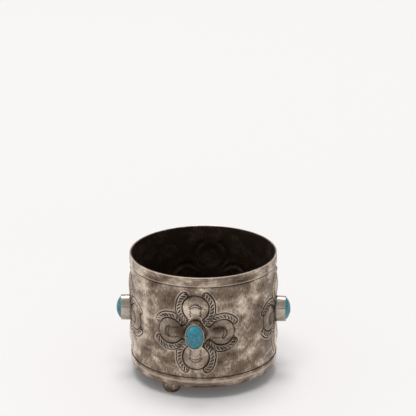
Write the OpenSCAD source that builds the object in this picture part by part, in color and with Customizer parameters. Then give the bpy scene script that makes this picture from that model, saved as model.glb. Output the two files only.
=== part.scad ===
/* [Body] */
// Outer diameter of the rolled wall
wall_od = 100; // [92:1:120]
// Height of the body, from the underside of the floor to the rim
body_h = 79.3; // [78:0.1:100]
// Thickness of the wall sheet
sheet_t = 1; // [0.8:0.1:1.5]
// Thickness of the floor
floor_t = 1.2; // [0.8:0.1:2.5]
// How far the bottle's seat is sunk into the floor
seat_sink = 0.2; // [0.1:0.05:0.5]
// Width of the ledge left level between the seat and the wall
seat_ledge = 1; // [0.5:0.1:3]

/* [Bands] */
// Height of the strip round the rim
rim_band_h = 6.5; // [4:0.1:7.2]
// Height of the strip round the base
base_band_h = 7.3; // [4:0.1:8]
// Thickness of both strips
band_t = 0.5; // [0.3:0.1:1]
// Rounding of the strips' outer edges
band_round = 0.15; // [0.05:0.05:0.15]

/* [Seam] */
// Where the wall's ends meet, round from the front
seam_turn = 229; // [220:1:236]
// Width of the chased line along the seam
seam_w = 0.8; // [0.4:0.1:2]
// Depth of the line along the seam
seam_depth = 0.2; // [0.1:0.05:0.4]

/* [Flowers] */
// How far the flowers hang below the middle of the clear wall
flower_drop = 0.3; // [0:0.1:0.5]
// How much further the right and left flowers hang
side_drop = 0.9; // [0:0.1:1.2]
// Turn of the right flower from the front one
right_turn = 90; // [86:0.5:94]
// Turn of the back flower from the front one
back_turn = 180; // [176:0.5:184]
// Turn of the left flower from the front one, laid by eye a little forward
left_turn = 277.5; // [266:0.5:278]
// Distance from a flower's middle to the middle of each petal
petal_reach = 17.7; // [17:0.1:18.2]
// Radius of a petal's dome
petal_r = 9; // [8:0.1:9.3]
// Rise of a petal's dome above the wall
petal_rise = 1.3; // [0.8:0.1:2]
// Groove chased between a petal and its leaves
leaf_gap = 0.5; // [0.3:0.1:1]
// Width of the two curved leaves of a petal
leaf_w = 3.9; // [3:0.1:4.2]
// Rise of the leaves above the wall
leaf_rise = 0.9; // [0.5:0.1:1.5]
// Where a leaf's tip lies, round the petal from its outer end
leaf_from = 38; // [34:1:60]
// Where a leaf's root lies, round the petal from its outer end
leaf_to = 152; // [130:1:156]
// Groove chased between the leaves of neighbouring petals
mitre_gap = 0.5; // [0.3:0.1:1]

/* [Stone settings] */
// Width of a bezel outside
bezel_w = 13; // [11:0.1:13.4]
// Height of a bezel outside
bezel_h = 18.2; // [15:0.1:18.6]
// Thickness of the bezel strip
bezel_t = 0.4; // [0.3:0.05:0.8]
// How far the bezel's rim stands off the wall
bezel_stand = 7; // [6:0.1:9]
// Width of the solder fillet at the foot of a bezel
fillet_w = 0.3; // [0.2:0.05:0.4]
// Height of the solder fillet
fillet_h = 0.4; // [0.2:0.05:1]
// Thickness of the strip inside the bezel that bears the stone
bearing_t = 1.2; // [0.6:0.1:2]
// Thickness of a stone
stone_t = 6; // [5:0.1:7]
// Height of the stone's straight edge below its dome
girdle_h = 2; // [1.5:0.1:2.2]
// How far a stone's dome stands above its bezel
stone_proud = 3.1; // [2.5:0.1:3.4]

/* [Feet] */
// Height of the feet
foot_h = 9; // [6:0.1:9.6]
// Diameter of the balls that make the feet
foot_d = 12.4; // [10:0.1:14]
// Distance of the feet from the axis
foot_reach = 40.5; // [20:0.1:41]
// Turn of the first foot from the front flower
foot_turn = 333.3; // [300:0.5:360]

/* [Hidden] */

// Fineness of the curves
$fn = 96;
// Room between a stone or its bearing and the bezel round it
setting_clear = 0.05;
// Plain wall left clear round a bezel and beside a band
patch_clear = 0.05;
// Overrun of every cut past the face that it goes through
over = 1;
// Rounding of a leaf's tip, as a share of the leaf's width
tip_share = 0.56;
// Size of the ball that rounds a stone, as a share of the stone
stone_ball_share = 1.06;
// Opening of the bezel's lip, as a share of the stone
lip_share = 0.97;
// Where a flower's lines start, as a share of the wall's radius
stamp_share = 0.78;

wall_r = wall_od / 2;
well_r = wall_r - sheet_t;
floor_z = foot_h + floor_t;
rim_z = foot_h + body_h;
clear_h = body_h - rim_band_h - base_band_h;
flower_z = foot_h + base_band_h + clear_h / 2 - flower_drop;
side_z = flower_z - side_drop;

// Turn and height of each flower: front, right, back and left
FLOWERS = [[0, flower_z], [right_turn, side_z], [back_turn, flower_z], [left_turn, side_z]];

seam_r = arc_r(seam_w / 2, seam_depth);

lip_r = wall_r + bezel_stand;
stone_w = bezel_w - 2 * (bezel_t + setting_clear);
stone_h = bezel_h - 2 * (bezel_t + setting_clear);
stone_top_r = lip_r + stone_proud;
stone_seat_r = stone_top_r - stone_t;
ball_half = (stone_t - girdle_h) / (1 - ball_height_share(1));

silver = [0.66, 0.63, 0.58];
dark_silver = [0.45, 0.42, 0.38];
turquoise_blue = [0.1, 0.58, 0.68];

// Angle that an arc of the wall's outside takes up
function turn_of(arc) = arc / wall_r * 180 / PI;

// Radius of an arc of a given half chord and rise
function arc_r(half, rise) = (rise + half * half / rise) / 2;

// Height of the stone's ball over its middle, at a share of the way out to the stone's edge
function ball_height_share(share) = sqrt(1 - pow(share / stone_ball_share, 2));

// Puts a drawing upright on the axis, facing out: X goes round, Y up and Z away from the axis
module face_out(turn, z) {
    translate([0, 0, z]) rotate([90, 0, turn]) children();
}

// An oval that is w wide and h high
module oval(w, h) {
    scale([w / h, 1]) circle(d = h);
}

// A low dome on a round wall, half_w wide round the wall and half_h high up it
module dome(turn, z, r, half_w, half_h, rise) {
    half_turn = half_w / r * 180 / PI;
    round_r = arc_r(r * sin(half_turn), rise + r * (1 - cos(half_turn)));
    upright_r = arc_r(half_h, rise);
    rotate([0, 0, turn]) translate([0, round_r - r - rise, z])
        rotate_extrude() intersection() {
            translate([round_r - upright_r, 0]) circle(r = upright_r);
            translate([0, -half_h - rise]) square([round_r + over, 2 * (half_h + rise)]);
        }
}

// The four petals of one flower, domed out from a wall of radius r
module petal_domes(turn, z, r, half) {
    for (k = [0:3])
        dome(
            turn + turn_of(petal_reach * sin(90 * k)),
            z + petal_reach * cos(90 * k),
            r, half, half, petal_rise
        );
}

// The plain patch of wall that a bezel stands on, as what has to come off above it
module bezel_patch(turn, z) {
    start = wall_r * stamp_share;
    difference() {
        face_out(turn, z) translate([0, 0, start]) linear_extrude(lip_r - start)
            oval(bezel_w + 2 * (fillet_w + patch_clear), bezel_h + 2 * (fillet_w + patch_clear));
        cylinder(r = wall_r, h = rim_z + over);
    }
}

// The plain strip of wall that a band lies on, from z up, as what has to come off above it
module band_patch(z, h) {
    translate([0, 0, z]) difference() {
        cylinder(r = lip_r, h = h);
        translate([0, 0, -over]) cylinder(r = wall_r, h = h + 2 * over);
    }
}

// Outline of the leaf on a petal's right, with the petal's middle at the origin and its end at +Y
module leaf_outline() {
    inner_r = petal_r + leaf_gap;
    outer_r = inner_r + leaf_w;
    mid_r = inner_r + leaf_w / 2;
    reach = 2 * outer_r;
    intersection() {
        difference() {
            circle(r = outer_r);
            circle(r = inner_r);
        }
        union() {
            polygon([
                [0, 0],
                [reach * sin(leaf_to), reach * cos(leaf_to)],
                [reach, 0],
                [reach * sin(leaf_from), reach * cos(leaf_from)]
            ]);
            translate([mid_r * sin(leaf_from), mid_r * cos(leaf_from)]) circle(r = leaf_w * tip_share);
        }
    }
}

// The leaf, mitred where it meets the neighbouring petal's leaf
module leaf() {
    reach = petal_reach + petal_r + leaf_gap + leaf_w;
    intersection() {
        leaf_outline();
        translate([0, mitre_gap - petal_reach])
            polygon([[0, 0], [reach, reach], [reach, 2 * reach], [-reach, 2 * reach], [-reach, reach]]);
    }
}

// The eight leaves of one flower, standing off the wall
module flower_leaves(turn, z) {
    leaf_r = wall_r + leaf_rise;
    start = wall_r * stamp_share;
    for (k = [0:3])
        intersection() {
            face_out(turn + turn_of(petal_reach * sin(90 * k)), z + petal_reach * cos(90 * k))
                translate([0, 0, start]) linear_extrude(leaf_r + over - start) rotate(-90 * k) {
                    leaf();
                    mirror([1, 0]) leaf();
                }
            cylinder(r = leaf_r, h = rim_z);
        }
}

// Rolled sheet, with four flowers worked in it from inside
module wall() {
    color(silver) difference() {
        union() {
            translate([0, 0, floor_z]) cylinder(r = wall_r, h = rim_z - floor_z);
            for (f = FLOWERS) {
                flower_leaves(f[0], f[1]);
                petal_domes(f[0], f[1], wall_r, petal_r);
            }
        }
        translate([0, 0, floor_z - over]) cylinder(r = well_r, h = body_h + 2 * over);
        for (f = FLOWERS) {
            petal_domes(f[0], f[1], well_r, petal_r - sheet_t / 2);
            bezel_patch(f[0], f[1]);
        }
        band_patch(foot_h, base_band_h + patch_clear);
        band_patch(rim_z - rim_band_h - patch_clear, rim_band_h + patch_clear + over);
        rotate([0, 0, seam_turn]) translate([0, seam_depth - seam_r - wall_r, floor_z - over])
            cylinder(r = seam_r, h = body_h + 2 * over);
    }
}

// Disc that closes the bottom, sunk a little where the bottle stands
module base_plate() {
    color(dark_silver) difference() {
        translate([0, 0, foot_h]) cylinder(r = wall_r, h = floor_t);
        translate([0, 0, floor_z - seat_sink]) cylinder(r = well_r - seat_ledge, h = seat_sink + over);
    }
}

// Flat strip round the outside of the wall, from z up
module band(z, h) {
    flat_t = band_t - band_round;
    color(silver) translate([0, 0, z]) rotate_extrude() translate([wall_r, 0]) {
        square([flat_t, h]);
        translate([0, band_round]) square([band_t, h - 2 * band_round]);
        translate([flat_t, band_round]) circle(r = band_round);
        translate([flat_t, h - band_round]) circle(r = band_round);
    }
}

// Ball filed flat where it stands and where it is soldered to the bottom
module foot(turn) {
    color(dark_silver) intersection() {
        rotate([0, 0, turn]) translate([0, -foot_reach, foot_h / 2]) sphere(d = foot_d);
        cylinder(r = wall_r, h = foot_h);
    }
}

// Upright oval strip soldered to the wall, with its rim turned in over the stone
module bezel(turn, z) {
    start = wall_r * stamp_share;
    lip_under_r = stone_top_r - ball_half * (1 - ball_height_share(lip_share)) + setting_clear;
    color(silver) difference() {
        union() {
            face_out(turn, z) translate([0, 0, start]) linear_extrude(lip_r - start)
                oval(bezel_w, bezel_h);
            intersection() {
                face_out(turn, z) translate([0, 0, start]) linear_extrude(lip_r - start)
                    oval(bezel_w + 2 * fillet_w, bezel_h + 2 * fillet_w);
                cylinder(r = wall_r + fillet_h, h = rim_z);
            }
        }
        face_out(turn, z) linear_extrude(lip_under_r)
            oval(stone_w + 2 * setting_clear, stone_h + 2 * setting_clear);
        face_out(turn, z) linear_extrude(lip_r + over)
            oval(stone_w * lip_share, stone_h * lip_share);
        cylinder(r = wall_r, h = rim_z);
    }
}

// Oval strip inside the bezel that holds the stone up
module stone_bearing(turn, z) {
    start = wall_r * stamp_share;
    color(dark_silver) difference() {
        face_out(turn, z) translate([0, 0, start]) linear_extrude(stone_seat_r - start)
            oval(stone_w, stone_h);
        face_out(turn, z) linear_extrude(stone_seat_r + over)
            oval(stone_w - 2 * bearing_t, stone_h - 2 * bearing_t);
        cylinder(r = wall_r, h = rim_z);
    }
}

// Domed oval stone with a straight edge
module turquoise(turn, z) {
    color(turquoise_blue) face_out(turn, z) intersection() {
        translate([0, 0, stone_seat_r]) linear_extrude(stone_t + over) oval(stone_w, stone_h);
        translate([0, 0, stone_top_r - ball_half])
            scale([stone_w / 2 * stone_ball_share, stone_h / 2 * stone_ball_share, ball_half])
                sphere(r = 1);
    }
}

wall();
base_plate();
band(rim_z - rim_band_h, rim_band_h);  // rim_band
band(foot_h, base_band_h);  // base_band
foot(foot_turn);  // foot_front
foot(foot_turn + 120);  // foot_right
foot(foot_turn + 240);  // foot_back
bezel(0, flower_z);  // bezel_front
bezel(right_turn, side_z);  // bezel_right
bezel(back_turn, flower_z);  // bezel_back
bezel(left_turn, side_z);  // bezel_left
stone_bearing(0, flower_z);  // stone_bearing_front
stone_bearing(right_turn, side_z);  // stone_bearing_right
stone_bearing(back_turn, flower_z);  // stone_bearing_back
stone_bearing(left_turn, side_z);  // stone_bearing_left
turquoise(0, flower_z);  // turquoise_front
turquoise(right_turn, side_z);  // turquoise_right
turquoise(back_turn, flower_z);  // turquoise_back
turquoise(left_turn, side_z);  // turquoise_left
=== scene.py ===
"""Looks of a wine bottle coaster: a tube of oxidised silver sheet with four flowers worked into it,
each with a domed oval turquoise in a tall bezel, strips round the rim and the base, and ball feet.

Lengths in the formulas are millimetres, and become metres when a mesh is made. Turns are degrees round
the upright axis from the front (-Y) towards +X."""

import math
from types import SimpleNamespace

import bpy
import numpy as np
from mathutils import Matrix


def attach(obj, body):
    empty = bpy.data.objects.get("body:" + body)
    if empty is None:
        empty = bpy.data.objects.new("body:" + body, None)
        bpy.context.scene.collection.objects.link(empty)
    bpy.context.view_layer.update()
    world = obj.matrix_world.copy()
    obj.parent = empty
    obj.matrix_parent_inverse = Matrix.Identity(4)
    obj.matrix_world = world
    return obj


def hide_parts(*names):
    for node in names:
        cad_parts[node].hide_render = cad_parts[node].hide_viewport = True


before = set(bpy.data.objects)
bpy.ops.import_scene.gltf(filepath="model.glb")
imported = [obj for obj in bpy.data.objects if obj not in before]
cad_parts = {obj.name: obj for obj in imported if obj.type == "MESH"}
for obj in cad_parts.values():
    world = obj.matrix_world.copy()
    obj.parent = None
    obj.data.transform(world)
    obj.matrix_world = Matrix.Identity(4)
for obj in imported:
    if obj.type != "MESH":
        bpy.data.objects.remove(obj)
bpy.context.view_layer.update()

bl_info = {
    "name": "Silver bottle coaster",
    "version": (1, 0, 0),
    "blender": (4, 5, 0),
    "location": "View3D > Sidebar > Coaster",
    "description": "Makes the silver and turquoise pieces of a bottle coaster round its CAD frame",
    "category": "Object",
}

MM = 0.001
ROOT = "root"

# Flowers: name, turn, how far it hangs below the front one, where its quarter of the wall starts and
# ends, and the side (+1 right, -1 left) on which its bezel's strip is joined
FLOWERS = (
    ("front", 0.0, 0.0, -41.25, 45.0, -1),
    ("right", 90.0, 0.9, 45.0, 135.0, -1),
    ("back", 180.0, 0.0, 135.0, 229.0, -1),
    ("left", 277.5, 0.9, 229.0, 318.75, 1),
)
SEAM_TURN = 229.0

# Feet: name and turn
FEET = (("front", 333.3), ("right", 93.3), ("back", 213.3))

# The photograph's camera, in degrees and millimetres
CAMERA_TURN = 6.3
CAMERA_RISE = 22.616
CAMERA_PITCH = 19.727
CAMERA_YAW = 0.154
CAMERA_ROLL = -0.438
CAMERA_DISTANCE = 1321.9
CAMERA_AIM_Z = 48.67
CAMERA_LENS = 165.46

# How clearly the crescent stamp shows on the top, right, bottom and left petal
STAMP_STRENGTH = (1.0, 0.9, 0.75, 0.8)

# How far the wall's fine cells reach from a flower's middle
FIELD_ACROSS, FIELD_DOWN, FIELD_UP = 30.5, 31.5, 30.5

# Cells of the wall's outside to one cell of its inside, and how much of the pressed form shows inside
CELLS_PER_CELL = 4
HOLLOW_SHARE = 0.85

# Spots that lighten (+) or darken (-) the wall: tarnish worn off and tarnish settled, and painted highlights,
# among them the tall bright band at -45 and the bright spots at 27 to 29:
# turn from the camera's as an arc, height above the body's foot, half width, half height, strength
TARNISH_AND_LIGHT_SPOTS = (
    (-45, 48, 4.5, 27, 0.95),
    (-53, 62, 5, 20, 0.5),
    (-68, 17, 8, 14, 0.9),
    (-47, 17, 4, 9, -0.3),
    (69, 14, 6, 12, 1.0),
    (-50, 76, 9, 5, 0.3),
    (-44, 3, 9, 4, 0.5),
    (-36, 16, 5, 6, 0.4),
    (-66, 71, 12, 6, 0.35),
    (6, 72, 16, 4, 0.3),
    (54, 74, 5, 6, 0.5),
    (-9, 53, 7, 6, 0.5),
    (-8, 47, 8, 3, 0.8),
    (10, 48, 9, 4, 0.5),
    (-36, 53, 4, 5, 0.4),
    (20, 18, 6, 4, -0.35),
    (-20, 10, 4, 4, -0.4),
    (66, 22, 5, 7, 0.5),
    (-20, 58, 3, 6, -0.5),
    (5, 68, 4, 5, -0.6),
    (0, 60, 4, 4, 0.5),
    (22, 65, 8, 4, -0.4),
    (44, 60, 3, 5, -0.4),
    (68, 54, 4, 6, 0.6),
    (55, 37, 4, 5, -0.5),
    (-49, 66, 6, 4, -0.3),
    (37, 60, 3, 4, 0.3),
    (-6, 20, 8, 6, 0.5),
    (29, 56, 5, 7, 0.85),
    (36, 63, 4, 5, 0.5),
    (53, 58, 4, 5, 0.35),
    (27, 28, 4, 5, 0.8),
    (42, 11, 12, 4, 0.45),
    (-33, 73, 4, 3, -0.7),
    (-37, 69, 4, 3, -0.5),
    (-26, 62, 3, 3, -0.4),
    (-43, 26, 4, 4, -0.8),
    (-16, 39, 4, 3, -0.4),
    (10, 43, 4, 3, -0.8),
    (19, 33, 5, 4, -0.5),
    (15, 24, 7, 5, -0.9),
    (5, 12, 5, 5, -0.6),
    (36, 36, 5, 5, -0.4),
    (46, 46, 9, 5, -0.6),
    (60, 42, 5, 4, -0.5),
    (-70, 39, 3, 9, -1.2),
    (64, 39, 3, 9, -1.2),
    (8, 41, 6, 6, -0.7),
    (-15, 41, 5, 6, -0.8),
    (-24, 40, 4, 6, -0.55),
    (30, 73, 5, 4, -0.6),
)


# Sizes and colours

def length(name, default, description):
    """A length of the sidebar, given here in millimetres."""
    return bpy.props.FloatProperty(
        name=name, description=description, default=default * MM, min=0, subtype="DISTANCE", unit="LENGTH"
    )


def colour(name, code, description):
    """A colour of the sidebar, from its sRGB hex code."""
    return bpy.props.FloatVectorProperty(
        name=name, description=description, default=linear(code), size=4, min=0, max=1, subtype="COLOR"
    )


def linear(code):
    """An sRGB hex code as linear red, green, blue and alpha."""
    srgb = np.array([int(code[i:i + 2], 16) for i in (1, 3, 5)]) / 255
    low = srgb / 12.92
    high = ((srgb + 0.055) / 1.055) ** 2.4
    return tuple(float(c) for c in np.where(srgb <= 0.04045, low, high)) + (1.0,)


class CoasterSizes(bpy.types.PropertyGroup):
    """Real sizes of the coaster's pieces"""

    wall_r: length("Wall radius", 50, "Outside radius of the rolled wall")
    sheet_t: length("Sheet thickness", 1, "Thickness of the wall sheet")
    floor_low: length("Floor underside", 9, "Height of the floor's underside over the table")
    floor_t: length("Floor thickness", 1.2, "Thickness of the floor disc")
    seat_sink: length("Seat depth", 0.2, "How far the bottle's seat is sunk into the floor")
    rim_z: length("Rim height", 88.3, "Height of the rim over the table")
    rim_band_h: length("Rim strip height", 6.5, "Height of the strip round the rim")
    base_band_h: length("Base strip height", 7.3, "Height of the strip round the base")
    band_t: length("Strip thickness", 0.5, "Thickness of both strips")
    flower_z: length("Flower height", 48.75, "Height of the flowers' middles over the table")
    petal_reach: length("Petal reach", 17.7, "From a flower's middle to the middle of a petal")
    petal_r: length("Petal radius", 9, "Radius of a petal's round end")
    petal_rise: length("Petal rise", 1.3, "Rise of a petal over the wall")
    throat: length("Petal throat", 5.3, "Half width of a petal where it meets the bezel")
    leaf_gap: length("Leaf gap", 0.5, "Groove between a petal and its leaves")
    leaf_w: length("Leaf width", 3.9, "Width of the curved leaves beside a petal")
    leaf_rise: length("Leaf rise", 0.9, "Rise of the leaves over the wall")
    hatch_pitch: length("Hatching pitch", 2.45, "Distance between the punched strokes of a leaf")
    bezel_w: length("Bezel width", 13, "Outside width of a bezel")
    bezel_h: length("Bezel height", 18.2, "Outside height of a bezel")
    bezel_stand: length("Bezel stand", 7, "How far a bezel stands off the wall")
    stone_w: length("Stone width", 12.1, "Width of a stone")
    stone_h: length("Stone height", 17.3, "Height of a stone")
    stone_t: length("Stone thickness", 6, "Thickness of a stone")
    stone_proud: length("Stone above bezel", 3.1, "How far a stone's dome stands above its bezel")
    foot_h: length("Foot height", 9, "Height of the ball feet between their flats")
    foot_r: length("Foot radius", 6.2, "Radius of the balls that make the feet")
    foot_reach: length("Foot reach", 40.5, "Distance of the feet from the axis")


class CoasterColours(bpy.types.PropertyGroup):
    """Colours of the coaster's finishes"""

    polished: colour("Polished silver", "#C9C2B4", "Silver of the bezels, which handling keeps bright")
    # pale silver of worn places, also used for painted highlights
    rubbed_and_highlit: colour("Rubbed silver", "#DCCDBB", "Silver where the tarnish is rubbed off")
    tarnished: colour("Tarnished silver", "#877667", "Silver under a thin warm tarnish")
    oxidised: colour("Oxidised silver", "#48392C", "Silver under a thick brown tarnish")
    # black of grooves, also used for painted shade
    recess_and_shade: colour("Recesses", "#1B110B", "Black that stays in grooves and punch marks")
    stone: colour("Turquoise", "#057B91", "Body of the stones")
    stone_pale: colour("Pale turquoise", "#43A5B8", "Paler clouds in the stones")
    matrix: colour("Matrix", "#2C3A34", "Veins of dark mother rock in the stones")
    ground: colour("Floor", "#F7F5F5", "The pale floor that the coaster stands on")


def sizes_in_mm():
    """The sidebar's sizes as plain numbers in millimetres."""
    group = bpy.context.scene.coaster_sizes
    return SimpleNamespace(**{n: getattr(group, n) / MM for n in CoasterSizes.__annotations__})


# Small shapes of curves

def ramp(low, high, x):
    """0 below low, 1 above high, and a smooth S between them: 3 t^2 - 2 t^3."""
    t = np.clip((x - low) / (high - low), 0, 1)
    return t * t * (3 - 2 * t)


def line(distance, half, soft):
    """1 on a drawn line of that half width, fading to 0 over soft past its edge."""
    return 1 - ramp(half, half + soft, np.abs(distance))


def within(x, pitch):
    """How far x lies from the middle of the step that it is in, with a new step at every pitch."""
    steps = x / pitch
    return (steps - np.floor(steps) - 0.5) * pitch


def blend_min(a, b, k):
    """The lesser of a and b, rounded where they cross over a length k."""
    h = np.clip(0.5 + 0.5 * (b - a) / k, 0, 1)
    return b + (a - b) * h - k * h * (1 - h)


def oval_distance(x, y, half_w, half_h):
    """About how far a point lies outside an oval: (|(x/a, y/b)| - 1) times the slope's inverse."""
    k = np.hypot(x / half_w, y / half_h)
    slope = np.hypot(x / half_w ** 2, y / half_h ** 2) / np.maximum(k, 1e-6)
    return (k - 1) / np.maximum(slope, 1e-6)


# The worked sheet

def petal_frames(u, v, s):
    """For each petal of a flower: p across it and q out along it from the flower's middle, which are
    u and v turned by quarter turns, then r and a, the polar place round the petal's own middle."""
    for k in range(4):
        c, n = round(math.cos(k * math.pi / 2)), round(math.sin(k * math.pi / 2))
        p, q = u * c - v * n, u * n + v * c
        yield p, q, np.hypot(p, q - s.petal_reach), np.arctan2(p, q - s.petal_reach)


def petal_edge(p, q, r, s):
    """Distance outside a petal: the lesser, rounded, of a circle's and of a throat's. The throat runs
    from 5 to 15 mm off the flower's middle, and its half width grows by a tenth of the way out."""
    throat = np.maximum(np.abs(p) - s.throat - 0.1 * (q - 10), np.maximum(q - 15, 5 - q))
    return blend_min(r - s.petal_r, throat, 1.6)


def leaf_edge(p, q, r, a, s):
    """Distance outside the pair of leaves of a petal: a bent strip round the petal from the tip at 38
    degrees, rounded there, to its root at 150, cut off where the next petal's leaves begin."""
    half = s.leaf_w / 2
    middle = s.petal_r + s.leaf_gap + half
    tip = math.radians(38)
    bent = np.abs(r - middle) - half
    past_tip = q - s.petal_reach - middle * math.cos(tip)
    round_tip = np.hypot(np.abs(p) - middle * math.sin(tip), past_tip) - half
    strip = np.where(np.abs(a) > tip, bent, round_tip)
    root = (np.abs(a) - math.radians(150)) * r
    return np.maximum(np.maximum(strip, root), (np.abs(p) - q + s.leaf_gap) / math.sqrt(2))


def pressed(u, v, s):
    """What is pushed out from inside, in mm: each petal and leaf rises as rise (1 - (1 - t)^2) and sinks
    to nothing at the bezel. t goes from 0 at the edge to 1 where the point lies 0.9 of the petal's
    radius, or 0.32 of the leaf's width, further in."""
    height = np.zeros_like(u)
    for p, q, r, a in petal_frames(u, v, s):
        t = np.clip(-petal_edge(p, q, r, s) / (0.9 * s.petal_r), 0, 1)
        height = np.maximum(height, s.petal_rise * (1 - (1 - t) ** 2))
        t = np.clip(-leaf_edge(p, q, r, a, s) / (0.32 * s.leaf_w), 0, 1)
        height = np.maximum(height, s.leaf_rise * (1 - (1 - t) ** 2))
    from_bezel = oval_distance(u, v, s.bezel_w / 2, s.bezel_h / 2)
    return height * ramp(-0.5, 2.5, from_bezel)


def chased(u, v, s):
    """Lines cut and punched from outside, as depth below the pressed form in mm, with how dark each
    point is (0 to 1) and how brightly it is rubbed (0 to 1), which grows with how far it stands out."""
    depth, dark = np.zeros_like(u), np.zeros_like(u)
    bright = 0.35 * pressed(u, v, s) / s.petal_rise

    def mark(amount, deep, tone):
        np.maximum(depth, amount * deep, out=depth)
        np.maximum(dark, amount * tone, out=dark)

    middle = s.petal_r + s.leaf_gap + s.leaf_w / 2
    slant = math.tan(math.radians(40))
    for struck, (p, q, r, a) in zip(STAMP_STRENGTH, petal_frames(u, v, s)):
        petal = petal_edge(p, q, r, s)
        leaf = leaf_edge(p, q, r, a, s)
        own = ramp(0, 0.5, q - np.abs(p))
        # outline of the petal and of its leaves
        mark(line(petal - 0.05, 0.17, 0.3) * own, 0.38, 1.0)
        mark(line(leaf - 0.3, 0.2, 0.3) * own, 0.34, 1.0)
        # lip of metal that the outline has thrown up round the leaves
        lip = line(leaf - 1.1, 0.2, 0.5) * own * ramp(middle - 1, middle, r)
        np.minimum(depth, -0.14 * lip, out=depth, where=lip > 0.3)
        np.maximum(bright, 0.55 * lip, out=bright)
        # rails along both edges of a leaf, and the hatching punched between them
        inside = ramp(0.1, 0.5, -leaf)
        across = r - middle
        rails = np.maximum(line(across + 1.65, 0.15, 0.3), line(across - 1.4, 0.25, 0.35)) * inside
        np.maximum(bright, rails, out=bright)
        place = middle * a + across * slant + 0.2 * np.sin(1.3 * u + 1.9 * v)
        stroke = line(within(place, s.hatch_pitch) * math.cos(math.atan(slant)), 0.42, 0.26)
        mark(stroke * line(across + 0.12, 1.1, 0.3) * inside, 0.42, 1.0)
        np.maximum(bright, 0.45 * inside, out=bright)
        # crescent stamp on the petal: an outer arc with a tooth every 1.4 mm, and an inner one, each
        # round a middle of its own
        turn, ring = np.arctan2(p, q - 16.5), np.hypot(p, q - 16.5)
        fan = line(turn, math.radians(72), 0.15)
        mark(line(ring - 4.13, 0.25, 0.25) * fan, 0.22, struck)
        tooth = line(within(turn * 4.6, 1.4), 0.2, 0.25)
        mark(tooth * line(ring - 4.8, 0.4, 0.25) * fan, 0.18, struck)
        turn, ring = np.arctan2(p, q - 13.7), np.hypot(p, q - 13.7)
        mark(line(ring - 5.2, 0.22, 0.25) * line(turn, 0.83, 0.1), 0.2, struck)
        # legs of the stamp, each a zigzag that comes back every 2.1 mm
        zigzag = q / 2.1
        leg = 3.4 + 0.55 * (4 * np.abs(zigzag - np.floor(zigzag + 0.5)) - 1)
        run = ramp(11.2, 11.7, q) * (1 - ramp(16.2, 16.8, q))
        mark(line((np.abs(p) - leg) * 0.75, 0.2, 0.28) * run, 0.2, struck)
    from_bezel = oval_distance(u, v, s.bezel_w / 2, s.bezel_h / 2)
    clear = ramp(0, 0.6, from_bezel)
    # the tools bit deeper in some places than in others
    bite = 0.86 + 0.14 * np.sin(0.41 * u + 0.23 * v + 1.3) * np.sin(0.37 * v - 0.19 * u + 0.4)
    dark = np.maximum(dark * bite * clear, 0.7 * (1 - ramp(0.1, 1.2, from_bezel)))
    return depth * clear, dark, bright * clear


def unevenness(turn, z, s):
    """Waves that rolling and hammering leave, in mm: a sum of sines with whole numbers of waves round
    the wall, slow ones 0.1 high and short ones 0.02 high, fading out under the strips."""
    rng = np.random.default_rng(11)
    angle = np.radians(turn)
    total = np.zeros_like(turn)
    for waves in (3, 5, 7, 10, 13, 17, 22, 28, 36, 47, 58, 73, 88):
        for tilt in (-1, 1):
            phase = rng.uniform(0, 2 * math.pi)
            share = rng.uniform(0.2, 1.0) * tilt
            total += 0.16 / waves ** 0.75 * np.sin(waves * angle + share * waves * z / s.wall_r + phase)
    low = s.floor_low + s.base_band_h
    high = s.rim_z - s.rim_band_h
    return total * ramp(low, low + 3, z) * (1 - ramp(high - 3, high, z))


def tarnish_and_light(turn, z, s):
    """How much lighter (+) or darker (-) the wall is, from worn and settled tarnish and painted highlights: a
    sum of soft oval spots.
    """
    arc = np.radians((turn - CAMERA_TURN + 180) % 360 - 180) * s.wall_r
    total = 0.0 * (turn + z)
    for place, up, half_w, half_h, strength in TARNISH_AND_LIGHT_SPOTS:
        total += strength * np.exp(-((arc - place) / half_w) ** 2 - ((z - s.floor_low - up) / half_h) ** 2)
    return total


# Meshes

def quads(rows, cols, close_rows=False, close_cols=False, first=0, flip=False):
    """Faces of a grid of points stored row by row, which face the way that column steps crossed with
    row steps point. A closed direction runs on from its last line to its first."""
    i = np.arange(rows if close_rows else rows - 1)[:, None]
    j = np.arange(cols if close_cols else cols - 1)[None, :]
    i2, j2 = (i + 1) % rows, (j + 1) % cols
    faces = np.stack([i * cols + j, i * cols + j2, i2 * cols + j2, i2 * cols + j], -1).reshape(-1, 4)
    return (faces[:, ::-1] if flip else faces) + first


def spread(stops, steps):
    """Numbers from stops[0] to stops[-1], with steps[i] even steps between each pair of stops."""
    parts = [np.linspace(a, b, n, endpoint=False) for a, b, n in zip(stops, stops[1:], steps)]
    return np.concatenate(parts + [[stops[-1]]])


def face_out(x, y, n, turn, z):
    """World points of a drawing that faces out at a turn: x across, y up from z, and n from the axis."""
    t = np.radians(turn)
    return np.stack([x * np.cos(t) + n * np.sin(t), x * np.sin(t) - n * np.cos(t), z + y], -1)


def by_hand(u, v, seed):
    """Places on a flower, moved up to 0.2 mm by slow waves, as tools held by hand stray."""
    du = np.sin(0.31 * v + 0.13 * u + seed) + 0.6 * np.sin(0.67 * v - 0.29 * u + 2 * seed)
    dv = np.sin(0.29 * u - 0.17 * v + 3 * seed) + 0.6 * np.sin(0.71 * u + 0.23 * v + seed)
    return u + 0.13 * du, v + 0.13 * dv


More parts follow.
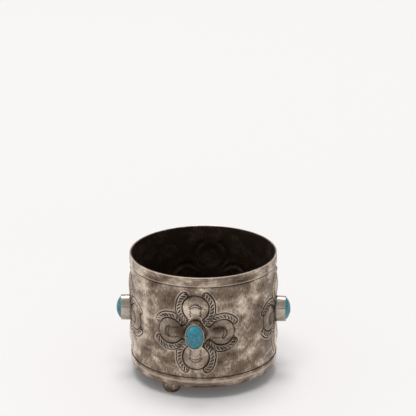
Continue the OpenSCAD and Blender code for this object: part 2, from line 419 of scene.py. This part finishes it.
def wall_sector(turn, middle, start, end, s):
    """One quarter of the wall as a closed piece. Outside, a point at turn t and height z is at radius
    wall + unevenness + pressed - chased; inside, on every fourth line, at wall - sheet + unevenness +
    a share of pressed. Strips of many-sided faces close the rim, the foot and both ends."""
    fine = math.degrees(FIELD_ACROSS / s.wall_r)
    close = math.degrees(0.2 / s.wall_r)
    n = CELLS_PER_CELL
    # cells 1 mm wide round the flower, and about 2 degrees wide on the plain wall beside it
    before, after = (max(2, round(gap / 2)) for gap in (turn - fine - start, end - turn - fine))
    turns_in = spread([start, start + close, turn - fine, turn + fine, end - close, end],
                      [1, before, 61, after, 1])
    low, high = s.floor_low + s.floor_t, s.rim_z
    heights_in = spread([low, s.flower_z - FIELD_DOWN, s.flower_z + FIELD_UP, high - 0.3, high],
                        [4, 62, 5, 1])
    turns, heights = (spread(list(a), [n] * (len(a) - 1)) for a in (turns_in, heights_in))

    t, z = np.meshgrid(turns, heights)
    u, v = by_hand(np.radians(t - turn) * s.wall_r, z - middle, turn)
    depth, dark, bright = chased(u, v, s)
    seam = line(np.radians(t - SEAM_TURN) * s.wall_r, 0.1, 0.35)
    radius = s.wall_r + unevenness(t, z, s) + pressed(u, v, s) - depth - 0.2 * seam
    # the rim's outer arris is rounded off
    arris = 0.25
    radius -= arris - np.sqrt(arris ** 2 - np.clip(z - high + arris, 0, arris) ** 2)
    outer = face_out(0, 0, radius, t, z)
    patches = tarnish_and_light(t, z, s)
    # painted shadow: a dark line on the wall just under the rim strip
    strip_shadow = line(z - high + s.rim_band_h + 0.4, 0.3, 0.3)
    dark = np.maximum(dark, 0.8 * strip_shadow)
    tones = [np.maximum(dark, 0.6 * seam), bright * np.clip(1 + patches, 0.1, 1), patches]

    t_in, z_in = np.meshgrid(turns_in, heights_in)
    u, v = by_hand(np.radians(t_in - turn) * s.wall_r, z_in - middle, turn)
    radius_in = s.wall_r - s.sheet_t + unevenness(t_in, z_in, s) + HOLLOW_SHARE * pressed(u, v, s)
    inner = face_out(0, 0, radius_in, t_in, z_in)

    rows, cols = outer.shape[:2]
    rows_in, cols_in = inner.shape[:2]
    first = rows * cols
    o = np.arange(first).reshape(rows, cols)
    i = first + np.arange(rows_in * cols_in).reshape(rows_in, cols_in)

    def strips(outside, inside, flip):
        """Faces between two lines of points, of which the outer has n cells to the inner's one."""
        count = np.arange(len(inside) - 1)
        many = outside[count[:, None] * n + np.arange(n + 1)]
        faces = np.concatenate([many, inside[count + 1, None], inside[count, None]], 1)
        return faces[:, ::-1] if flip else faces

    edges = np.concatenate([
        strips(o[-1], i[-1], False), strips(o[0], i[0], True),
        strips(o[:, -1], i[:, -1], True), strips(o[:, 0], i[:, 0], False),
    ])
    faces = quads(rows, cols).tolist() + quads(rows_in, cols_in, first=first, flip=True).tolist()
    smooth = len(faces)
    inside_tones = [np.full(inner.shape[:2], k) for k in (0.4, 0, -0.8)]
    points = np.concatenate([outer.reshape(-1, 3), inner.reshape(-1, 3)])
    tones = [np.concatenate([a.ravel(), b.ravel()]) for a, b in zip(tones, inside_tones)]
    return points, faces + edges.tolist(), tones, smooth


def turned(radii, heights, steps, closed=False, wobble=0.0, seed=0):
    """A profile turned round the axis: point (i, j) lies at radius r_i and height z_i, at turn 360 j / steps.
    An end of the profile on the axis stays a ring of points in one place, which with_poles makes one point.
    wobble adds slow waves to the radius."""
    rng = np.random.default_rng(seed)
    angle = np.linspace(0, 2 * math.pi, steps, endpoint=False)
    wave = sum(
        rng.uniform(0.4, 1) / k ** 0.5 * np.sin(k * angle + rng.uniform(0, 6.28))
        for k in (2, 3, 5, 9, 14, 21, 33)
    )
    r = np.asarray(radii, float)[:, None] + wobble * wave[None, :] * (np.asarray(radii)[:, None] > 0)
    z = np.repeat(np.asarray(heights, float)[:, None], steps, 1)
    return face_out(0, 0, r, np.degrees(angle)[None, :], z), quads(len(radii), steps, closed, True)


def with_poles(points, faces):
    """The same surface with each of its end lines that has shrunk to one place made a single point."""
    rows, cols = points.shape[:2]
    index = np.arange(rows * cols).reshape(rows, cols)
    for row in (0, rows - 1):
        if np.ptp(points[row], axis=0).max() < 1e-9:
            index[row] = index[row, 0]
    faces = index.ravel()[faces]
    keep = np.zeros(rows * cols, bool)
    keep[np.unique(index)] = True
    new = np.cumsum(keep) - 1
    corners = [list(dict.fromkeys(face)) for face in new[faces].tolist()]
    return points.reshape(-1, 3)[keep], corners, keep


def bezel_surface(turn, middle, side, s):
    """A strip bent to an oval: point (i, j) lies at offset o_i outside the oval (a cos f, b sin f) and at
    n_i from the axis. It rises from a solder fillet on the round wall, sqrt(R^2 - x^2), to a lip that
    is rolled in over the stone, and goes back down inside. The strip's ends meet in a fine groove on
    one side, a little above the middle."""
    f = np.linspace(0, 2 * math.pi, 160, endpoint=False)[None, :]
    a, b = s.bezel_w / 2, s.bezel_h / 2
    bead, lip = 0.42, s.wall_r + s.bezel_stand
    # each line up the outside, from inside the wall: offset, rise over the wall, share of the way on to
    # the lip, 1 if the strip's waves show there, how dark and how bright
    outside = np.array([
        (0.25, -0.35, 0, 0, 1, 0),
        (0.25, 0.02, 0, 0, 1, 0),
        (0.24, 0.16, 0, 0, 1, 0),
        (0.2, 0.36, 0, 0, 0.95, 0),
        (0.15, 0.7, 0, 1, 0.6, 0),
        (0.1, 0, 0.25, 1, 0.05, 0),
        (0.05, 0, 0.5, 1, 0, 0.1),
        (0, 0, 0.7, 1, 0, 0.1),
        (-0.02, 0, 0.86, 1, 0, 0.2),
    ])
    # each line over the lip: turn round its bead in degrees, how dark and how bright; the darkness as the lip
    # turns under towards the stone is painted shade
    over = np.array([
        (-35, 0, 0.3), (0, 0, 0.4), (30, 0, 0.3), (60, 0.1, 0.1),
        (90, 0.3, 0), (120, 0.5, 0), (150, 0.7, 0), (180, 1, 0),
    ])
    away, rise, share, waved, dark, bright = outside.T[:, :, None]
    bend = np.radians(over[:, :1])
    # the last three lines go down the inside, which is dark, and end in the wall
    offset = np.vstack([away, bead * np.cos(bend) - bead, [[-0.72], [-0.44], [-0.4]]])
    slope = np.hypot(b * np.cos(f), a * np.sin(f))
    wave = 0.05 * np.sin(3 * f + turn) + 0.03 * np.sin(7 * f + 2 * turn)
    joint = line(np.hypot(a * (np.cos(f) - side), b * (np.sin(f) - 0.3)), 0.2, 0.35)
    out = offset + (wave - 0.12 * joint) * np.vstack([waved, 0 * offset[len(outside):]])
    x = a * np.cos(f) + out * b * np.cos(f) / slope
    y = b * np.sin(f) + out * a * np.sin(f) / slope
    wall = np.sqrt(s.wall_r ** 2 - x ** 2)
    up = wall[:len(outside)]
    n = np.vstack([
        up + rise + share * (lip - up),
        lip - bead + bead * np.sin(bend) + 0 * f,
        [[lip - 1.0], [lip - 1.5]] + 0 * f,
        wall[-1:] - 0.35,
    ])
    dark = np.vstack([dark, over[:, 1:2], np.ones((3, 1))])
    bright = np.vstack([bright, over[:, 2:], np.zeros((3, 1))])
    tones = [np.maximum(dark, 0.75 * joint), bright * (1 - joint), 0 * x]
    return face_out(x, y, n, turn, middle), quads(len(n), f.size, True, True), tones


def stone_surface(turn, middle, s):
    """A domed oval stone: from the middle of its flat back out to its edge, up the straight side, and over
    the dome n = top - h (1 - sqrt(1 - (k / w)^2)) to its apex. k is the share of the way out, and w is a
    little over 1, so that the dome meets the side in an edge."""
    f = np.linspace(0, 2 * math.pi, 96, endpoint=False)[None, :]
    top = s.wall_r + s.bezel_stand + s.stone_proud
    back = top - s.stone_t
    wide = 1.06
    dome = (s.stone_t - 2) / (1 - math.sqrt(1 - (1 / wide) ** 2))
    out = np.sin(np.linspace(math.pi / 2, 0, 30))
    k = np.concatenate([[0, 0.5, 0.97, 1, 1], out])[:, None]
    n = np.concatenate([[back, back, back, back + 0.2, back + 1.2],
                        top - dome * (1 - np.sqrt(1 - (out / wide) ** 2))])[:, None]
    lump = 0.06 * np.sin(2 * f + turn) + 0.04 * np.sin(3 * f - turn)
    n = n - np.abs(lump) * np.sin(math.pi * k) * (n > back + 1.5)
    x, y = s.stone_w / 2 * k * np.cos(f), s.stone_h / 2 * k * np.sin(f)
    return face_out(x, y, n + 0 * f, turn, middle), quads(len(k), f.size, False, True)


def foot_surface(turn, s):
    """A ball filed flat above and below: radius sqrt(R^2 - (z - middle)^2), with the arrises just broken."""
    high = s.foot_h
    z = np.concatenate([[0, 0, 0.08], np.linspace(0.3, high - 0.3, 24), [high - 0.08, high, high]])
    r = np.sqrt(s.foot_r ** 2 - (z - high / 2) ** 2)
    r[[1, -2]] -= 0.12
    r[[0, -1]] = 0
    points, faces = turned(r, z, 64)
    t = math.radians(turn)
    return points + np.array([math.sin(t), -math.cos(t), 0]) * s.foot_reach, faces


def add_piece(name, points, faces, material, replaces, tones=(), smooth=None):
    """Makes a mesh of points in mm, with its tones as attributes, and puts it in the frame."""
    if not len(points) or not np.isfinite(points).all():
        raise RuntimeError(f"{name} has no shape")
    mesh = bpy.data.meshes.new(name)
    mesh.from_pydata((np.asarray(points).reshape(-1, 3) * MM).tolist(), [], [list(f) for f in faces])
    flags = np.zeros(len(mesh.polygons), bool)
    flags[:smooth] = True
    mesh.polygons.foreach_set("use_smooth", flags)
    for label, values in zip(("recess_and_shade", "rubbed_and_highlit", "tarnish_and_light"), tones):
        attribute = mesh.attributes.new(label, "FLOAT", "POINT")
        attribute.data.foreach_set("value", np.asarray(values, np.float32).ravel())
    mesh.materials.append(material)
    mesh.update()
    piece = bpy.data.objects.new(name, mesh)
    bpy.context.scene.collection.objects.link(piece)
    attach(piece, ROOT)
    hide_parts(replaces)
    return piece


# Materials

def add_node(tree, kind, settings=None, **inputs):
    """Adds a node with its settings. An input, named by its socket with spaces as _, or by _ and its
    number, gets a value or a link from another node's output."""
    node = tree.nodes.new(kind)
    for key, value in (settings or {}).items():
        setattr(node, key, value)
    for key, value in inputs.items():
        socket = node.inputs[int(key[1:])] if key[1:].isdigit() else node.inputs[key.replace("_", " ")]
        if isinstance(value, bpy.types.NodeSocket):
            tree.links.new(value, socket)
        else:
            socket.default_value = value
    return node


def new_material(name):
    """An empty material, its node tree and its output node."""
    material = bpy.data.materials.new(name)
    material.use_nodes = True
    material.node_tree.nodes.clear()
    return material, material.node_tree, material.node_tree.nodes.new("ShaderNodeOutputMaterial")


def sum_of(tree, *terms):
    """A chain of Math nodes that adds value times weight for each term, and clamps the last sum to 0..1."""
    total = 0.0
    for k, (value, weight) in enumerate(terms):
        last = k == len(terms) - 1
        total = add_node(tree, "ShaderNodeMath", {"operation": "MULTIPLY_ADD", "use_clamp": last},
                         _0=value, _1=weight, _2=total).outputs[0]
    return total


def seen_directly(tree, ray):
    """1 for the rays that show the pale background: the camera's, and those that metal and glass send on."""
    kinds = ("Is Camera Ray", "Is Glossy Ray", "Is Transmission Ray")
    return sum_of(tree, *((ray[kind], 1.0) for kind in kinds))


def unrolled(tree, place):
    """Coordinates on the wall as if it were unrolled: along its arc, then up. They are cut at the seam."""
    quarter = math.radians(270 - SEAM_TURN)
    place = add_node(tree, "ShaderNodeMapping", Vector=place, Rotation=(0, 0, quarter)).outputs[0]
    x, y, z = add_node(tree, "ShaderNodeSeparateXYZ", Vector=place).outputs
    angle = add_node(tree, "ShaderNodeMath", {"operation": "ARCTAN2"}, _0=y, _1=x).outputs[0]
    radius = bpy.context.scene.coaster_sizes.wall_r
    arc = add_node(tree, "ShaderNodeMath", {"operation": "MULTIPLY"}, _0=angle, _1=radius).outputs[0]
    return add_node(tree, "ShaderNodeCombineXYZ", X=arc, Y=z).outputs[0]


def silver(name, tarnish, roughness, blotch=13.0, mottle=1.0, pale=None, brushed=None):
    """Silver sheet, hammered, darkened with liver of sulphur and polished back by hand. The eye sees warm
    grey metal in clouds about blotch mm across and streaks of 2 mm, as strong as mottle says, black lines in
    every hollow, pale edges, and a satin gloss that fades where the tarnish is thick. The same black also
    paints the shade, and the same pale the highlights, that a piece's attributes call for. tarnish is its
    usual thickness and roughness the bare metal's, both from 0 to 1. On the wall and its strips, brushed
    gives how far the polishing strokes run round and up."""
    colours = bpy.context.scene.coaster_colours
    pale = pale or colours.rubbed_and_highlit
    material, tree, output = new_material(name)
    place = add_node(tree, "ShaderNodeTexCoord").outputs["Object"]
    # clouds, streaks and grain, by the size of their forms in mm, detail, roughness and how much smaller
    # the forms are along X, Y and Z: clouds lie flatter than they are wide, as a polishing cloth leaves them
    patterns = [(place, blotch, 3.0, 0.55, (1, 1, 1.5)), (place, 2.2, 5.0, 0.6, (1, 1, 1.5)),
                (place, 0.35, 2.0, 0.5, (1, 1, 1))]
    if brushed:
        patterns.append((unrolled(tree, place), 0.8, 4.0, 0.65, (1 / brushed[0], 1 / brushed[1], 1)))
    noises = []
    for on, size, detail, coarse, squeeze in patterns:
        on = add_node(tree, "ShaderNodeMapping", Vector=on, Scale=squeeze).outputs[0]
        noises.append(add_node(tree, "ShaderNodeTexNoise", Vector=on, Scale=1 / (size * MM), Detail=detail,
                               Roughness=coarse, Distortion=0.3).outputs[0])
    clouds, streaks, grain = noises[:3]
    brush = noises[3] if brushed else streaks
    recess_and_shade, rubbed_and_highlit, patches = (
        add_node(tree, "ShaderNodeAttribute", {"attribute_name": label}).outputs["Fac"]
        for label in ("recess_and_shade", "rubbed_and_highlit", "tarnish_and_light")
    )
    thick = sum_of(tree, (clouds, 1.75 * mottle), (streaks, 0.45 * mottle), (brush, 1.05 * mottle),
                   (patches, -0.6), (1.0, tarnish - 1.61 * mottle))
    tone = add_node(tree, "ShaderNodeValToRGB", Fac=thick)
    stops = tone.color_ramp.elements
    stops[0].position, stops[0].color = 0.0, pale
    stops[1].position, stops[1].color = 1.0, colours.oxidised
    stops.new(0.5).color = colours.tarnished
    # the pale colour goes on worn places and on painted highlights, and the black into grooves and onto
    # painted shade
    lit = add_node(tree, "ShaderNodeMix", {"data_type": "RGBA"}, Factor=sum_of(tree, (rubbed_and_highlit, 0.85)))
    tree.links.new(tone.outputs[0], lit.inputs[6])
    lit.inputs[7].default_value = pale
    deep = add_node(tree, "ShaderNodeMix", {"data_type": "RGBA"}, Factor=sum_of(tree, (recess_and_shade, 0.97)))
    tree.links.new(lit.outputs[2], deep.inputs[6])
    deep.inputs[7].default_value = colours.recess_and_shade
    rough = sum_of(tree, (thick, 0.18), (recess_and_shade, 0.25), (brush, 0.14), (1.0, roughness - 0.07))
    relief = sum_of(tree, (streaks, 0.5), (brush, 0.3), (grain, 0.2))
    bump = add_node(tree, "ShaderNodeBump", Height=relief, Distance=0.12 * MM, Strength=0.6).outputs[0]
    # a thick tarnish scatters light as a powder does
    shader = add_node(tree, "ShaderNodeBsdfPrincipled", Base_Color=deep.outputs[2], Roughness=rough,
                      Normal=bump, Metallic=sum_of(tree, (thick, -0.3), (1.0, 1.0)))
    tree.links.new(shader.outputs[0], output.inputs["Surface"])
    return material


def turquoise():
    """Turquoise, cut as a domed oval, with thin dark veins of its mother rock. The eye sees a bright
    blue with paler clouds of 3 mm, a few dark threads about 0.3 mm thick with a fainter net of finer
    ones between them, and a wax polish."""
    colours = bpy.context.scene.coaster_colours
    material, tree, output = new_material("turquoise_polished")
    place = add_node(tree, "ShaderNodeTexCoord").outputs["Object"]
    clouds, veined_here = (
        add_node(tree, "ShaderNodeTexNoise", Vector=place, Scale=1 / (size * MM), Detail=detail,
                 Roughness=coarse, Distortion=0.3).outputs[0]
        for size, detail, coarse in ((2.6, 5.0, 0.6), (4.0, 2.0, 0.5))
    )
    bent = add_node(tree, "ShaderNodeTexNoise", Vector=place, Scale=1 / (2.5 * MM), Detail=3.0).outputs[1]
    bent = add_node(tree, "ShaderNodeVectorMath", {"operation": "MULTIPLY_ADD"}, _0=bent,
                    _1=(3.5 * MM,) * 3, _2=place).outputs[0]
    here = add_node(tree, "ShaderNodeMapRange", {"interpolation_type": "SMOOTHSTEP"},
                    Value=veined_here, From_Min=0.42, From_Max=0.6, To_Min=0.25, To_Max=0.9).outputs[0]
    veins = []
    for size, width in ((5.2, 0.07), (2.1, 0.12)):
        cracks = add_node(tree, "ShaderNodeTexVoronoi", {"feature": "DISTANCE_TO_EDGE"}, Vector=bent,
                          Scale=1 / (size * MM)).outputs[0]
        vein = add_node(tree, "ShaderNodeMapRange", {"interpolation_type": "SMOOTHSTEP"}, Value=cracks,
                        From_Min=0.01, From_Max=width, To_Min=1.0, To_Max=0.0).outputs[0]
        veins.append(add_node(tree, "ShaderNodeMath", {"operation": "MULTIPLY"}, _0=vein, _1=here).outputs[0])
    vein = sum_of(tree, (veins[0], 0.9), (veins[1], 0.4))
    pale = add_node(tree, "ShaderNodeMapRange", Value=clouds, From_Min=0.42, From_Max=0.68).outputs[0]
    body = add_node(tree, "ShaderNodeMix", {"data_type": "RGBA"}, Factor=pale)
    body.inputs[6].default_value, body.inputs[7].default_value = colours.stone, colours.stone_pale
    veined = add_node(tree, "ShaderNodeMix", {"data_type": "RGBA"}, Factor=vein)
    tree.links.new(body.outputs[2], veined.inputs[6])
    veined.inputs[7].default_value = colours.matrix
    rough = sum_of(tree, (vein, 0.25), (clouds, 0.15), (1.0, 0.24))
    bump = add_node(tree, "ShaderNodeBump", Height=vein, Distance=0.05 * MM, Strength=0.4).outputs[0]
    shader = add_node(tree, "ShaderNodeBsdfPrincipled", Base_Color=veined.outputs[2], Roughness=rough,
                      Normal=bump, IOR=1.61)
    tree.links.new(shader.outputs[0], output.inputs["Surface"])
    return material


# Operators

def put_at(thing, right, up, back, place):
    """Puts a camera or a lamp at a place in metres, with its own X, Y and Z along right, up and back."""
    matrix = np.eye(4)
    matrix[:3] = np.stack([right, up, back, place], 1)
    thing.matrix_world = matrix.T.tolist()


class MakeWall(bpy.types.Operator):
    """Make the worked wall in four quarters, one round each flower"""

    bl_idname = "coaster.make_wall"
    bl_label = "Wall"

    def execute(self, context):
        s = sizes_in_mm()
        material = silver("silver_sheet_oxidised", 0.48, 0.34, brushed=(1.3, 3.5))
        for name, turn, drop, start, end, _ in FLOWERS:
            points, faces, tones, smooth = wall_sector(turn, s.flower_z - drop, start, end, s)
            add_piece(f"wall_{name}", points, faces, material, "wall", tones, smooth)
        return {"FINISHED"}


class MakeFloor(bpy.types.Operator):
    """Make the floor disc"""

    bl_idname = "coaster.make_floor"
    bl_label = "Floor disc"

    def execute(self, context):
        s = sizes_in_mm()
        low, high = s.floor_low, s.floor_low + s.floor_t
        arris, ledge, steps = 0.15, s.wall_r - s.sheet_t - 1, 180
        across = np.array([0, 12, 25, 38, ledge - arris])
        edge = [s.wall_r - arris, s.wall_r, s.wall_r, s.wall_r - arris, ledge]
        radii = np.concatenate([across, edge, across[::-1]])
        heights = [low] * 6 + [low + arris, high - arris, high, high] + [high - s.seat_sink] * 5
        points, faces, keep = with_poles(*turned(radii, heights, steps))
        # the inside is darker than the underside
        dark = np.repeat(np.where(np.array(heights) > low + 0.5, 0.7, 0.4), steps)[keep]
        add_piece("base_plate_disc", points, faces, silver("silver_floor_oxidised", 0.8, 0.45),
                  "base_plate", [dark, 0 * dark, 0 * dark - 0.5])
        return {"FINISHED"}


class MakeBands(bpy.types.Operator):
    """Make the strips round the rim and round the base"""

    bl_idname = "coaster.make_bands"
    bl_label = "Rim and base strips"

    def execute(self, context):
        s = sizes_in_mm()
        material = silver("silver_strip_rubbed", 0.5, 0.3, brushed=(7, 1))
        steps, lines = 360, 15
        inner, outer, arris, broken = s.wall_r - 0.05, s.wall_r + s.band_t, 0.15, 0.04
        # each strip's node, its foot and its top, how much brighter than the wall it is rubbed, and 1 for
        # the one round the base
        for node, low, high, wear, base in (
            ("rim_band", s.rim_z - s.rim_band_h, s.rim_z, 0.03, 0),
            ("base_band", s.floor_low, s.floor_low + s.base_band_h, -0.1, 1),
        ):
            radii = np.concatenate([[inner, outer - arris, outer - broken], np.full(lines, outer),
                                    [outer - broken, outer - arris, inner]])
            heights = np.concatenate([[low, low, low + broken], np.linspace(low + arris, high - arris, lines),
                                      [high - broken, high, high]])
            belly = np.sin(np.linspace(0, math.pi, len(radii))) * 0.05
            # the base strip's foot is rolled in a little
            foot = 0.3 * (1 - ramp(0, 2, heights - low)) * base
            radii = radii + belly - 0.08 - foot * (radii > inner)
            points, faces = turned(radii, heights, steps, True, 0.01, base)
            # the base strip is dark on its ledge, with painted shade at its rolled-in foot and a painted
            # highlight along a line 4.3 mm up; both strips' undersides are painted black as shade; the rim
            # strip has painted highlights along both its edges
            dark = 0.85 * line(heights - high, 0.12, 0.35) * base + foot
            dark = np.maximum(dark, heights <= low)
            edges = ramp(high - 0.5, high, heights) + 0.5 * line(heights - low - 0.3, 0.2, 0.3)
            bright = edges * (1 - base) + 0.5 * line(heights - low - 4.3, 0.4, 0.8) * base
            patches = tarnish_and_light(np.arange(float(steps))[None, :], heights[:, None], s) + wear
            tones = [np.repeat(dark[:, None], steps, 1), np.repeat(bright[:, None], steps, 1), patches]
            add_piece(f"{node}_strip", points, faces, material, node, tones)
        return {"FINISHED"}


class MakeFeet(bpy.types.Operator):
    """Make the three ball feet"""

    bl_idname = "coaster.make_feet"
    bl_label = "Ball feet"

    def execute(self, context):
        s = sizes_in_mm()
        material = silver("silver_ball_oxidised", 0.5, 0.34, 5.0)
        for name, turn in FEET:
            points, faces, _ = with_poles(*foot_surface(turn, s))
            z = points[:, 2]
            dark = np.maximum(ramp(s.foot_h - 2.0, s.foot_h - 0.4, z), 0.15 * ramp(0, 1.3, z))
            add_piece(f"foot_{name}_ball", points, faces, material, f"foot_{name}",
                      [dark, 0 * z, 0 * z])
        return {"FINISHED"}


class MakeSettings(bpy.types.Operator):
    """Make the four bezels, and finish the strips inside them that bear the stones"""

    bl_idname = "coaster.make_settings"
    bl_label = "Bezels and bearings"

    def execute(self, context):
        s = sizes_in_mm()
        polished = context.scene.coaster_colours.polished
        material = silver("silver_bezel_polished", 0.22, 0.17, 6.0, 0.3, polished)
        hidden = silver("silver_bearing_dull", 0.8, 0.5, 4.0)
        for name, turn, drop, _, _, side in FLOWERS:
            points, faces, tones = bezel_surface(turn, s.flower_z - drop, side, s)
            add_piece(f"bezel_{name}_collar", points, faces, material, f"bezel_{name}", tones)
            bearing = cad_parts[f"stone_bearing_{name}"]
            bearing.data.materials.clear()
            bearing.data.materials.append(hidden)
        return {"FINISHED"}


class MakeStones(bpy.types.Operator):
    """Make the four domed turquoise stones"""

    bl_idname = "coaster.make_stones"
    bl_label = "Turquoise stones"

    def execute(self, context):
        s = sizes_in_mm()
        material = turquoise()
        for name, turn, drop, *_ in FLOWERS:
            points, faces, _ = with_poles(*stone_surface(turn, s.flower_z - drop, s))
            add_piece(f"turquoise_{name}_stone", points, faces, material,
                      f"turquoise_{name}")
        return {"FINISHED"}


class MakeStage(bpy.types.Operator):
    """Set the camera at the photograph's angle, with a pale floor and soft light"""

    bl_idname = "coaster.make_stage"
    bl_label = "Camera, floor and light"

    def execute(self, context):
        scene = context.scene
        scene.view_settings.view_transform = "Standard"
        self.add_camera(scene)
        self.add_ground(scene)
        self.add_light(scene)
        return {"FINISHED"}

    def add_camera(self, scene):
        """The camera looks down at its pitch from its rise, turned by its yaw and rolled."""
        turn, rise, pitch, yaw, roll = (
            math.radians(a) for a in (CAMERA_TURN, CAMERA_RISE, CAMERA_PITCH, CAMERA_YAW, CAMERA_ROLL)
        )
        level = np.array([-math.sin(turn), math.cos(turn), 0])
        ahead = level * math.cos(pitch) - np.array([0, 0, math.sin(pitch)])
        right = np.array([math.cos(turn), math.sin(turn), 0])
        ahead, right = (
            ahead * math.cos(yaw) + right * math.sin(yaw), right * math.cos(yaw) - ahead * math.sin(yaw)
        )
        up = np.cross(right, ahead)
        right, up = right * math.cos(roll) + up * math.sin(roll), up * math.cos(roll) - right * math.sin(roll)
        place = np.array([0, 0, CAMERA_AIM_Z]) + CAMERA_DISTANCE * (
            np.array([0, 0, math.sin(rise)]) - level * math.cos(rise)
        )
        data = bpy.data.cameras.new("camera")
        data.lens = CAMERA_LENS
        data.clip_start, data.clip_end = 0.05, 50
        camera = bpy.data.objects.new("camera", data)
        put_at(camera, right, up, -ahead, place * MM)
        scene.collection.objects.link(camera)
        scene.camera = camera

    def add_ground(self, scene):
        """A pale floor that shows a little brighter to the camera, and more so far off, where the lamps don't
        reach, and keeps the coaster's shadow."""
        colours = scene.coaster_colours
        # a disc 6 m in radius, a hair below the feet
        radii = np.linspace(0, 6000, 9)
        points, faces, _ = with_poles(*turned(radii, 0 * radii - 0.02, 96))
        mesh = bpy.data.meshes.new("ground")
        mesh.from_pydata((points * MM).tolist(), [], faces)
        ground = bpy.data.objects.new("ground", mesh)
        material, tree, output = new_material("pale_card")
        ray = add_node(tree, "ShaderNodeLightPath").outputs
        seen = seen_directly(tree, ray)
        card = add_node(tree, "ShaderNodeBsdfDiffuse", Color=colours.ground)
        place = add_node(tree, "ShaderNodeTexCoord").outputs["Object"]
        away = add_node(tree, "ShaderNodeVectorMath", {"operation": "LENGTH"}, _0=place).outputs["Value"]
        lift = add_node(tree, "ShaderNodeMapRange", Value=away, From_Min=0.3, From_Max=5.0, To_Min=0.08,
                        To_Max=0.5).outputs[0]
        glow = add_node(tree, "ShaderNodeEmission", Color=colours.ground, Strength=sum_of(tree, (seen, lift)))
        both = add_node(tree, "ShaderNodeAddShader", _0=card.outputs[0], _1=glow.outputs[0])
        tree.links.new(both.outputs[0], output.inputs["Surface"])
        mesh.materials.append(material)
        scene.collection.objects.link(ground)

    def add_light(self, scene):
        """A pale world, a soft lamp high over the coaster and a little behind it, and a smaller fill lamp
        high up in front."""
        colours = scene.coaster_colours
        world = bpy.data.worlds.new("pale_room")
        world.use_nodes = True
        scene.world = world
        tree = world.node_tree
        tree.nodes.clear()
        ray = add_node(tree, "ShaderNodeLightPath").outputs
        strength = sum_of(tree, (seen_directly(tree, ray), 0.53), (1.0, 0.43))
        # metal also shows the dimmer parts of the room: the right side, and the wall behind the camera
        way = add_node(tree, "ShaderNodeTexCoord").outputs["Generated"]
        right, ahead, up = add_node(tree, "ShaderNodeSeparateXYZ", Vector=way).outputs
        right, front, above = (
            add_node(tree, "ShaderNodeMapRange", {"interpolation_type": "SMOOTHSTEP"}, Value=value,
                     From_Min=start, From_Max=end, To_Min=0.0, To_Max=1.0).outputs[0]
            for value, start, end in ((right, 0.05, 0.6), (ahead, -0.35, -0.7), (up, 0.03, 0.3))
        )
        behind = add_node(tree, "ShaderNodeMath", {"operation": "MULTIPLY"}, _0=front, _1=above).outputs[0]
        dim = add_node(tree, "ShaderNodeMath", {"operation": "MULTIPLY"},
                       _0=sum_of(tree, (right, 0.5), (behind, 0.4)), _1=ray["Is Glossy Ray"]).outputs[0]
        strength = sum_of(tree, (strength, 1.0), (dim, -1.0))
        sky = add_node(tree, "ShaderNodeBackground", Color=colours.ground, Strength=strength)
        output = tree.nodes.new("ShaderNodeOutputWorld")
        tree.links.new(sky.outputs[0], output.inputs["Surface"])
        # each lamp's name, place, width and height in metres, and power in watts
        for name, place, wide, tall, watts in (
            ("lamp_fill", (-0.1, -0.9, 3.0), 1.6, 0.8, 26.0),
            ("lamp_top", (-0.15, 0.75, 4.35), 1.4, 1.6, 61.0),
        ):
            data = bpy.data.lights.new(name, "AREA")
            data.shape, data.size, data.size_y, data.energy = "RECTANGLE", wide, tall, watts
            lamp = bpy.data.objects.new(name, data)
            # the lamp looks at the coaster's middle
            back = np.array(place) - (0, 0, 0.05)
            back /= np.linalg.norm(back)
            side = np.cross([0, 0, 1], back)
            side /= np.linalg.norm(side)
            put_at(lamp, side, np.cross(back, side), back, place)
            lamp.visible_camera = False
            # the fill softens shadows, and gives no second highlight on the silver
            lamp.visible_glossy = name != "lamp_fill"
            scene.collection.objects.link(lamp)


class CoasterPanel(bpy.types.Panel):
    """Buttons that make the coaster's pieces"""

    bl_idname = "COASTER_PT_pieces"
    bl_label = "Bottle coaster"
    bl_space_type = "VIEW_3D"
    bl_region_type = "UI"
    bl_category = "Coaster"

    def draw(self, context):
        for operator in OPERATORS:
            self.layout.operator(operator.bl_idname)
        for group in (context.scene.coaster_sizes, context.scene.coaster_colours):
            box = self.layout.box()
            for name in type(group).__annotations__:
                box.prop(group, name)


OPERATORS = (MakeStage, MakeWall, MakeFloor, MakeBands, MakeFeet, MakeSettings, MakeStones)
CLASSES = (CoasterSizes, CoasterColours) + OPERATORS + (CoasterPanel,)


def register():
    for cls in CLASSES:
        bpy.utils.register_class(cls)
    bpy.types.Scene.coaster_sizes = bpy.props.PointerProperty(type=CoasterSizes)
    bpy.types.Scene.coaster_colours = bpy.props.PointerProperty(type=CoasterColours)


def unregister():
    del bpy.types.Scene.coaster_sizes
    del bpy.types.Scene.coaster_colours
    for cls in reversed(CLASSES):
        bpy.utils.unregister_class(cls)


def main():
    """Registers the classes and makes every piece in order."""
    register()
    bpy.ops.coaster.make_stage()
    bpy.ops.coaster.make_wall()
    bpy.ops.coaster.make_floor()
    bpy.ops.coaster.make_bands()
    bpy.ops.coaster.make_feet()
    bpy.ops.coaster.make_settings()
    bpy.ops.coaster.make_stones()


if __name__ == "__main__":
    main()
